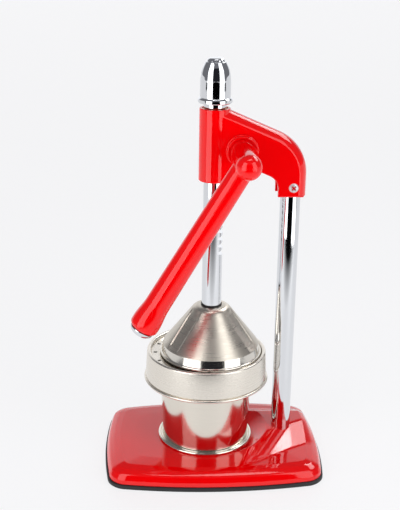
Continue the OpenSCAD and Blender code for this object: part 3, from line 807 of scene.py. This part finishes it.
# %% Cap
cap_low, cap_high = node_box("ram_cap")
cap_r = (cap_high.x - cap_low.x) / 2
cap_foot = cap_low.z
cap_profile = rounded([
    (0, cap_foot), (11, cap_foot, 0.4), (11, cap_foot + 4.7, 0.3), (cap_r - 0.6, cap_foot + 4.7, 0.6),
    (cap_r, cap_foot + 5.6, 0.6), (cap_r, cap_foot + 8.3, 0.7), (cap_r - 1.1, cap_foot + 9.7, 0.6),
    (14.8, cap_foot + 9.8, 0.3), (14.75, cap_foot + 26, 20), (14.1, cap_foot + 31.5, 30),
    (12.8, cap_foot + 37.6, 22), (10.0, cap_foot + 43.2, 0.5), (9.0, cap_foot + 43.6, 0.4),
    (7.4, cap_foot + 46.6, 5), (0, cap_high.z)], 6)
cap = lathe("ram_cap_bullet", cap_profile, sides=144)
shade(cap, math.radians(40))
place(cap, CHROME, "ram", "chrome_bar", "ram_cap")

# %% [markdown]
# ## The bell
# The bell is spun from sheet and then pressed with three shallow flutes, which grip the peel
# and stiffen the cone. Its foot is a short polished band, which leans in a little and ends in
# a rolled bead. The lathe makes the cone, and a push on each point presses the flutes into
# it. The band is the same sheet, so it is one mesh with a second material.

# %% Bell
bell_low, bell_high = node_box("bell")
BELL_R = (bell_high.x - bell_low.x) / 2
SHEET = 1.2
BAND_H = 10.4
FLUTE_AT = [math.radians(a) for a in (61.5 - 90, 181.5 - 90, 301.5 - 90)]
FLUTE_HALF_W = 8.4
FLUTE_EDGE_W = 1.9
FLUTE_DEPTH = 1.7
bell_foot = bell_low.z
band_r = BELL_R - 1.6
BAND_LEAN = 1.9
band_z = bell_foot + BAND_H
CONE_TOP_R = 16.8
SHOULDER_R = 8.8


def flute(angle, radius, height):
    """How far a flute presses the sheet in at a place on the bell."""
    turned = min((abs((angle - a + math.pi) % (2 * math.pi) - math.pi) for a in FLUTE_AT))
    gap = radius * math.sin(min(turned, math.pi / 2))
    across = 1 - smoothstep(FLUTE_HALF_W - FLUTE_EDGE_W, FLUTE_HALF_W, gap)
    starts = smoothstep(band_z + 1, band_z + 4, height)
    ends = 1 - smoothstep(bell_high.z - 9, bell_high.z - 2, height)
    return -FLUTE_DEPTH * across * starts * ends


def stretch(first, last, pieces):
    """Evenly spaced corners between two, so that a press has points to move."""
    return [(first[0] + (last[0] - first[0]) * k / pieces, first[1] + (last[1] - first[1]) * k / pieces)
            for k in range(1, pieces)]


bell_out = rounded([
    (0, bell_high.z), (CONE_TOP_R, bell_high.z, SHOULDER_R), (band_r - BAND_LEAN, band_z, 0.8),
    (band_r, bell_foot + 2.6, 0.5), (BELL_R - 0.5, bell_foot + 2.6, 0.5), (BELL_R, bell_foot + 1.3, 1.2),
    (BELL_R - 0.5, bell_foot, 0.5), (band_r - SHEET, bell_foot, 0.4),
    (band_r - BAND_LEAN - SHEET, band_z - 0.5, 1.0),
    (CONE_TOP_R - 0.6, bell_high.z - SHEET, SHOULDER_R - SHEET), (0, bell_high.z - SHEET)], 6)
bell_profile = []
for first, last in zip(bell_out, bell_out[1:]):
    bell_profile.append(first)
    if math.dist(first, last) > 20:
        bell_profile += stretch(first, last, 22)
bell_profile.append(bell_out[-1])
bell = lathe("bell_spinning", bell_profile, sides=432, push=flute)
shade(bell, math.radians(40))
place(bell, BELL_STEEL, "ram", "brushed_stainless", "bell")
bell.data.materials.append(BAND_STEEL)
for face in bell.data.polygons:
    face.material_index = 1 if face.center.z < (band_z - 0.2) * MM else 0

# %% [markdown]
# ## The strainer
# The strainer is a deep lid: a deck pierced with short slots, a raised round rim and a skirt
# that hangs over the mouth of the cup and ends in a rolled lip. The sheet is spun first and
# the slots are punched afterwards, and the mesh follows that order.

# %% Strainer
LIP_R = 1.5
SKIRT_R = (strainer_high.x - strainer_low.x) / 2 - LIP_R
RIM_R = SKIRT_R - 1.5
RIM_W = 4.6
RIM_H = 4
THIN_SHEET = 1.0
deck_z = strainer_high.z - RIM_H
lip_foot = strainer_low.z
cone_low, cone_high = node_box("reamer_cone")
cone_seat_r = (cone_high.x - cone_low.x) / 2
hole_r = cone_seat_r - 6
strainer_profile = rounded([
    (hole_r, deck_z - THIN_SHEET, 0.2), (hole_r, deck_z, 0.3), (RIM_R - RIM_W - 0.4, deck_z, 1.0),
    (RIM_R - RIM_W + 1.2, deck_z + RIM_H, 1.8), (RIM_R, deck_z + RIM_H, 3.2),
    (SKIRT_R - 0.05, lip_foot + 2 * LIP_R + 0.9, 0.3), (SKIRT_R - 0.8, lip_foot + 2 * LIP_R + 0.1)], 6)
strainer_profile += arc(SKIRT_R, lip_foot + LIP_R, LIP_R, 122, -90, 16)
strainer_profile += rounded([
    (SKIRT_R - 0.2, lip_foot), (SKIRT_R - THIN_SHEET, lip_foot, 0.3),
    (SKIRT_R - THIN_SHEET, lip_foot + 3.6, 0.6), (RIM_R - THIN_SHEET, deck_z - THIN_SHEET, 0.8),
    (hole_r, deck_z - THIN_SHEET)], 6)
strainer = lathe("strainer_lid", strainer_profile, (CUP_X, 0, 0), sides=240)
print("strainer skirt", round(2 * SKIRT_R, 1), "mm across")

# %% Drain slots
SLOTS = 16
SLOT_L = 4.2
SLOT_W = 3.0
RING_GAP = 8


def punches(name, plans, z_low, z_high):
    """One cutter with a straight punch, from z_low to z_high, for each closed plan of points."""
    points, faces = [], []
    for plan in plans:
        start, n = len(points), len(plan)
        points += [(x, y, z) for z in (z_low, z_high) for x, y in plan]
        faces += [tuple(range(start, start + n)), tuple(range(start + n, start + 2 * n))]
        faces += [(start + j, start + (j + 1) % n, start + n + (j + 1) % n, start + n + j) for j in range(n)]
    return raw_object(name, points, faces)


def turned_plan(plan, turns):
    """A plan turned about the cup's axis by a part of a full turn."""
    turn = Matrix.Rotation(2 * math.pi * turns, 2)
    return [(CUP_X + p.x, p.y) for p in (turn @ Vector(q) for q in plan)]


slot_plans = []
for ring in (0, 1):
    middle = RIM_R - RIM_W - 3.9 - RING_GAP * ring
    half = SLOT_L / 2 - SLOT_W / 2
    slot = arc(middle + half, 0, SLOT_W / 2, -90, 90, 6) + arc(middle - half, 0, SLOT_W / 2, 90, 270, 6)
    slot_plans += [turned_plan(slot, (k + ring / 2) / SLOTS) for k in range(SLOTS)]
combine(strainer, [punches("slots", slot_plans, deck_z - THIN_SHEET - 1, deck_z + 1)], "DIFFERENCE")
shade(strainer, math.radians(40))
place(strainer, STRAINER_STEEL, "strainer", "brushed_stainless", "strainer")

# %% [markdown]
# ## The cup
# The cup is spun in one piece too. It widens slightly upwards, flares under the strainer's
# skirt to carry it, and stands on a flange with a rolled edge.

# %% Cup
CUP_FOOT_R = 49.2
cup_foot = cup_low.z
MOUTH_R = (cup_high.x - cup_low.x) / 2
WALL_FOOT_R = 44.2
WALL_TOP_R = 47.2
flare_z = lip_foot + 2
BEAD_R = 1.5
bead = arc(CUP_FOOT_R - BEAD_R, cup_foot + BEAD_R, BEAD_R, -90, 140, 16)
cup_profile = [(0, cup_foot)] + bead[:-1] + rounded([
    bead[-1], (WALL_FOOT_R + 1.6, cup_foot + 1.6, 0.8), (WALL_FOOT_R + 0.6, cup_foot + 2.3, 0.8),
    (WALL_FOOT_R + 0.25, cup_foot + 6, 3), (WALL_TOP_R, flare_z, 5), (MOUTH_R, flare_z + 12, 5),
    (MOUTH_R, cup_high.z, 0.4), (MOUTH_R - THIN_SHEET, cup_high.z, 0.4),
    (MOUTH_R - THIN_SHEET, flare_z + 12.4, 4), (WALL_TOP_R - THIN_SHEET, flare_z + 0.4, 5),
    (WALL_FOOT_R - THIN_SHEET, cup_foot + 3.4, 2), (0, cup_foot + 2.4)], 6)
cup = lathe("juice_cup_spinning", cup_profile, (CUP_X, 0, 0), sides=240)
shade(cup, math.radians(40))
place(cup, CUP_STEEL, "cup", "polished_stainless", "juice_cup")

# %% [markdown]
# ## The reaming cone
# Under the bell a ribbed cone opens the fruit. Its ribs are pressed outwards, and they drain
# the juice to the deck through slots between them. The ribs are pressed with a push on the
# lathe, as the flutes were, and the slots are punched with one cutter, as in the strainer.

# %% Cone
RIBS = 12
CONE_T = 1.2
cone_r = cone_seat_r - 5
tip_z = cone_high.z


def rib(angle, radius, height):
    """How far a rib stands out of the cone."""
    wave = max(math.cos(RIBS * angle), 0) ** 3
    starts = smoothstep(deck_z + 2, deck_z + 6, height)
    ends = 1 - smoothstep(tip_z - 9, tip_z - 3, height)
    return wave * starts * ends


cone_line = rounded([(hole_r - 1.5, cone_low.z), (hole_r - 0.3, cone_low.z), (hole_r - 0.3, deck_z, 0.2),
                     (cone_seat_r, deck_z, 0.2), (cone_seat_r, deck_z + CONE_T, 0.4),
                     (cone_r, deck_z + CONE_T, 1.5), (3.5, tip_z, 4), (0, tip_z)], 5)
inner_line = [(0, tip_z - CONE_T), (3, tip_z - CONE_T), (cone_r - 2.2, deck_z + 0.6),
              (hole_r - 1.5, deck_z - 0.4)]
cone_profile = []
whole_line = cone_line + inner_line
for first, last in zip(whole_line, whole_line[1:] + whole_line[:1]):
    cone_profile.append(first)
    if math.dist(first, last) > 20:
        cone_profile += stretch(first, last, 18)
start = next(i for i, p in enumerate(cone_profile) if p[0] < 1e-4 and p[1] < tip_z - 0.5)
cone_profile = cone_profile[start:] + cone_profile[:start]
cone = lathe("reamer_cone_pressing", cone_profile, (CUP_X, 0, 0), sides=192, push=rib)


DRAIN_HALF_W = 0.9
drain = [(cone_r * 0.5, -DRAIN_HALF_W), (cone_r * 1.4, -DRAIN_HALF_W),
         (cone_r * 1.4, DRAIN_HALF_W), (cone_r * 0.5, DRAIN_HALF_W)]
drain_plans = [turned_plan(drain, (k + 0.5) / RIBS) for k in range(RIBS)]
combine(cone, [punches("drains", drain_plans, deck_z + CONE_T + 1, deck_z + CONE_T + 12)], "DIFFERENCE")
shade(cone, math.radians(40))
place(cone, CUP_STEEL, "strainer", "polished_stainless", "reamer_cone")

# %% [markdown]
# ## The lever
# The lever is a hub that turns with the shaft and ends in a ball, an arm that is socketed
# into it, and a chromed button that closes the arm's end. The parts are painted before they
# are put together, so the joint shows as a crisp line. All three are turned, and each gets
# its own profile along its own axis.

# %% Hub
hub_low, hub_high = node_box("lever_hub")
HUB_R = (hub_high.x - hub_low.x) / 2
BALL_R = HUB_R - 0.8
ball_y = hub_low.y + BALL_R
hub_profile = [(0, hub_low.y)]
hub_profile += [(BALL_R * math.sin(math.radians(a)), ball_y - BALL_R * math.cos(math.radians(a)))
                for a in range(5, 90, 5)]
hub_profile += [(BALL_R, ball_y)]
hub_profile += rounded([(BALL_R, ball_y), (HUB_R, hub_high.y, 1.0), (0, hub_high.y)], 5)[1:]
hub = lathe("lever_hub_ball", hub_profile, (SHAFT.x, 0, SHAFT.z), ALONG_Y, 128)
shade(hub, math.radians(40))
place(hub, ENAMEL, "lever", "red_enamel", "lever_hub")

# %% Arm
LEVER_ANGLE = math.radians(180 + 30.5)
LEVER_L = 189
ARM_R1 = 10.9
ARM_R2 = 12.25
FLARE_R = 14.2
end_low, end_high = node_box("lever_end_cap")
lever_y = (end_low.y + end_high.y) / 2
lever_place = (SHAFT.x, lever_y, SHAFT.z)
lever_lean = Matrix.Rotation(LEVER_ANGLE, 4, "Y")

FLARE_START = LEVER_L - 30
FLARE_L = 22
arm_profile = [(0, 5), (ARM_R1, 5), (ARM_R1, HUB_R + 2), (ARM_R2, FLARE_START)]
flare = [((1 - math.cos(math.pi * k / 12)) / 2, k / 12) for k in range(1, 13)]
arm_profile += [(ARM_R2 + (FLARE_R - ARM_R2) * rise, FLARE_START + FLARE_L * share) for rise, share in flare]
arm_profile += arc(FLARE_R - 4.6, LEVER_L - 4.9, 4.6, 8, 84, 8)
arm_profile += [(FLARE_R - 4.9, LEVER_L - 0.2), (FLARE_R - 5.4, LEVER_L - 0.8), (0, LEVER_L - 0.8)]
arm = lathe("lever_arm_tube", arm_profile, lever_place, lever_lean, 128)
shade(arm, math.radians(40))
place(arm, ENAMEL, "lever", "red_enamel", "lever_arm")

# %% End button
BUTTON_R = FLARE_R - 2.4
button_profile = [(0, LEVER_L - 4), (FLARE_R - 5.6, LEVER_L - 4), (FLARE_R - 5.6, LEVER_L),
                  (BUTTON_R, LEVER_L)]
button_profile += [(BUTTON_R * math.cos(math.radians(a)), LEVER_L + 0.4 + 6.6 * math.sin(math.radians(a)))
                   for a in range(0, 90, 6)]
button_profile += [(0, LEVER_L + 7)]
button = lathe("lever_end_button", button_profile, lever_place, lever_lean, 128)
shade(button, math.radians(40))
place(button, CHROME, "lever", "chrome_bar", "lever_end_cap")

# %% [markdown]
# ## The clamp screw
# A screw through the socket clamps the head on the column. Its domed head has a crossed
# recess, which is cut with two thin plates after the head is turned.

# %% Clamp screw
clamp_low, clamp_high = node_box("head_screw")
clamp_x = (clamp_low.x + clamp_high.x) / 2
clamp_z = (clamp_low.z + clamp_high.z) / 2
SCREW_HEAD_R = (clamp_high.x - clamp_low.x) / 2
SCREW_HEAD_H = 2.6
SCREW_SHANK_R = 2.5
RECESS_L = 5.4
RECESS_W = 1.5
RECESS_DEPTH = 2.2
screw_face = clamp_low.y
screw_profile = rounded([
    (0, screw_face), (SCREW_HEAD_R * 0.72, screw_face + 0.35, 3), (SCREW_HEAD_R, screw_face + 1.7, 1.2),
    (SCREW_HEAD_R, screw_face + SCREW_HEAD_H), (SCREW_SHANK_R, screw_face + SCREW_HEAD_H),
    (SCREW_SHANK_R, clamp_high.y), (0, clamp_high.y)], 6)
screw = lathe("clamp_screw_domed", screw_profile, (clamp_x, 0, clamp_z), ALONG_Y, 64)
plates = []
for angle in (45, 135):
    turn = Matrix.Rotation(math.radians(angle), 2)
    corners = [turn @ Vector((along * RECESS_L / 2, across * RECESS_W / 2))
               for along, across in ((-1, -1), (1, -1), (1, 1), (-1, 1))]
    outline = [(clamp_x + c.x, clamp_z + c.y) for c in corners]
    plates.append(prism("recess", outline, screw_face - 1, screw_face + RECESS_DEPTH))
combine(screw, plates, "DIFFERENCE")
shade(screw)
place(screw, ZINC, "frame", "chrome_bar", "head_screw")

# %% [markdown]
# ## Parts whose CAD shape is already right
# Screws, bushes, the rack and the gears are plain machined parts, and the CAD meshes hold
# their true form. They keep their meshes and take the finish of what they are made of.

# %% Finishes for the CAD parts
FINISH = {
    CHROME: ["ram"],
    RUBBER: ["bell_seal"],
    ZINC: ["head_nut", "sole_screws", "column_bolt", "column_washer", "bell_washer", "bell_screw"],
    MACHINED: ["pinion", "pinion_shaft", "pinion_key", "shaft_ring", "lever_grub_screw"],
    BRONZE: ["guide_bush_lower", "guide_bush_upper", "shaft_bush_front", "shaft_bush_rear"],
}
for material, names in FINISH.items():
    for name in names:
        part = frame["nodes"][name]
        if not part.material_slots:
            part.data.materials.append(material)
        for material_slot in part.material_slots:
            material_slot.material = material
        print(name, "is", material.name)

# %% [markdown]
# ## The studio
# Polished things show their surroundings, so the studio is half of the look. Two tall
# softboxes stand to the left and right of the camera and draw the pair of white stripes on
# each bar, with the dark room between them. The room behind the table is bright and fills
# the shallow reflections. Two lights above and behind show only in polished surfaces, where
# they leave the patches on the base and the arm, and a strip overhead lights what faces up.
# The floor is a pale sheet that glows faintly, as lit paper does, so that it stays white into
# the distance. A black cloth lies before the table, out of the camera's sight: upright
# polished surfaces mirror it, and it gives the chrome and the enamel their depth.

# %% Floor
def lit_paper():
    """Pale seamless paper: matte, with a light of its own that makes it nearly white."""
    material, tree, output = new_material("seamless_paper")
    here = add(tree, "ShaderNodeTexCoord").outputs["Object"]
    fibre_mm = 3
    tint = blend(tree, noise(tree, here, fibre_mm, 2.0), linear("#717274"), linear("#767678"))
    cover(tree, output, {"Base Color": tint, "Roughness": 0.6,
                         "Emission Color": linear("#f6f6f7"), "Emission Strength": 0.84})
    return material


FLOOR_R = 400000
FLOOR_SIDES = 64
floor_edge = [(x, y, 0) for x, y in arc(0, 0, FLOOR_R, 0, 360, FLOOR_SIDES)[:-1]]
floor = raw_object("floor", floor_edge, [tuple(range(FLOOR_SIDES))])
floor.data.materials.append(lit_paper())
print("floor reaches", FLOOR_R / 1000, "m")


# %% Flag
def black_cloth(near_y, far_y):
    """A black cloth that fades in from near_y to far_y, so that its edge shows in no mirror."""
    material, tree, output = new_material("black_flag_cloth")
    here = add(tree, "ShaderNodeTexCoord").outputs["Object"]
    y = add(tree, "ShaderNodeSeparateXYZ", {0: here}).outputs[1]
    share = add(tree, "ShaderNodeMapRange", {"Value": y, "From Min": near_y * MM, "From Max": far_y * MM})
    clear = add(tree, "ShaderNodeBsdfTransparent")
    black = add(tree, "ShaderNodeBsdfDiffuse", {"Color": linear("#0a0a0b")})
    both = add(tree, "ShaderNodeMixShader", {
        0: share.outputs["Result"], 1: clear.outputs[0], 2: black.outputs[0]})
    tree.links.new(both.outputs[0], output.inputs["Surface"])
    return material


FLAG_NEAR = -400
FLAG_FULL = -780
FLAG_W = 3000
FLAG_L = 60000
FLAG_Z = 2
flag_edge = [(-FLAG_W, -FLAG_L, FLAG_Z), (FLAG_W, -FLAG_L, FLAG_Z),
             (FLAG_W, FLAG_NEAR, FLAG_Z), (-FLAG_W, FLAG_NEAR, FLAG_Z)]
flag = raw_object("flag", flag_edge, [(0, 1, 2, 3)])
flag.data.materials.append(black_cloth(FLAG_NEAR, FLAG_FULL))
flag.visible_camera = False
flag.visible_diffuse = False
flag.visible_shadow = False
print("flag is full from", FLAG_FULL, "mm")


# %% Lights
def softbox(name, turn, rise, distance, width, height, radiance, aim=(20, 0, 200), mirrored_only=False):
    """A rectangular light. Turn 0 is the camera's side of the table and 90 is its right. A light
    that is mirrored_only shows in polished surfaces and leaves the matte ones alone."""
    a = math.radians(turn)
    e = math.radians(rise)
    direction = Vector((math.sin(a) * math.cos(e), -math.cos(a) * math.cos(e), math.sin(e)))
    data = bpy.data.lights.new(name, "AREA")
    data.shape = "RECTANGLE"
    data.size = width * MM
    data.size_y = height * MM
    data.energy = radiance * math.pi * data.size * data.size_y
    lamp = bpy.data.objects.new(name, data)
    scene.collection.objects.link(lamp)
    lamp.location = Vector(aim) * MM + direction * distance * MM
    lamp.rotation_mode = "QUATERNION"
    lamp.rotation_quaternion = direction.to_track_quat("Z", "Y")
    lamp.visible_camera = False
    lamp.visible_diffuse = not mirrored_only
    return lamp


BOX_MIDDLE = (0, 0, 705)
BASE_RIGHT = (84, -29, 24)
softbox("softbox_left", turn=-45, rise=0, distance=950, width=680, height=1400, radiance=2.3, aim=BOX_MIDDLE)
softbox("softbox_right", turn=46, rise=0, distance=950, width=620, height=1400, radiance=2.2, aim=BOX_MIDDLE)
softbox("softbox_above", turn=124, rise=45, distance=1800, width=1150, height=560, radiance=5.0,
        mirrored_only=True)
softbox("small_window", turn=148, rise=50, distance=1500, width=260, height=60, radiance=9, aim=BASE_RIGHT,
        mirrored_only=True)
softbox("overhead_strip", turn=15, rise=78, distance=1500, width=800, height=260, radiance=4.0)
print("lights:", len(bpy.data.lights))

# %% World
def room():
    """The room as a smooth field of light by direction: bright behind the table up to a third
    of the way overhead, grey walls and ceiling, and darkness behind the camera."""
    world = bpy.data.worlds.new("studio_room")
    world.use_nodes = True
    tree = world.node_tree
    tree.nodes.clear()
    where = add(tree, "ShaderNodeTexCoord").outputs["Generated"]
    parts = add(tree, "ShaderNodeSeparateXYZ", {0: where})

    def ramp(axis, start, end):
        """0 to 1 as a component of the direction goes from start to end."""
        inputs = {"Value": parts.outputs[axis], "From Min": start, "From Max": end}
        return add(tree, "ShaderNodeMapRange", inputs, interpolation_type="SMOOTHSTEP").outputs["Result"]

    wall = linear("#6c6c70")
    front = blend(tree, ramp(1, -0.85, -0.35), linear("#202024"), wall)
    around = blend(tree, ramp(1, 0.56, 0.86), front, linear("#f4f5f8"))
    whole = blend(tree, ramp(2, 0.54, 0.62), around, wall)
    glow = add(tree, "ShaderNodeBackground", {"Color": whole, "Strength": 1.25})
    output = add(tree, "ShaderNodeOutputWorld")
    tree.links.new(glow.outputs["Background"], output.inputs["Surface"])
    return world


scene.world = room()
scene.view_settings.view_transform = "Standard"
print("world:", scene.world.name)
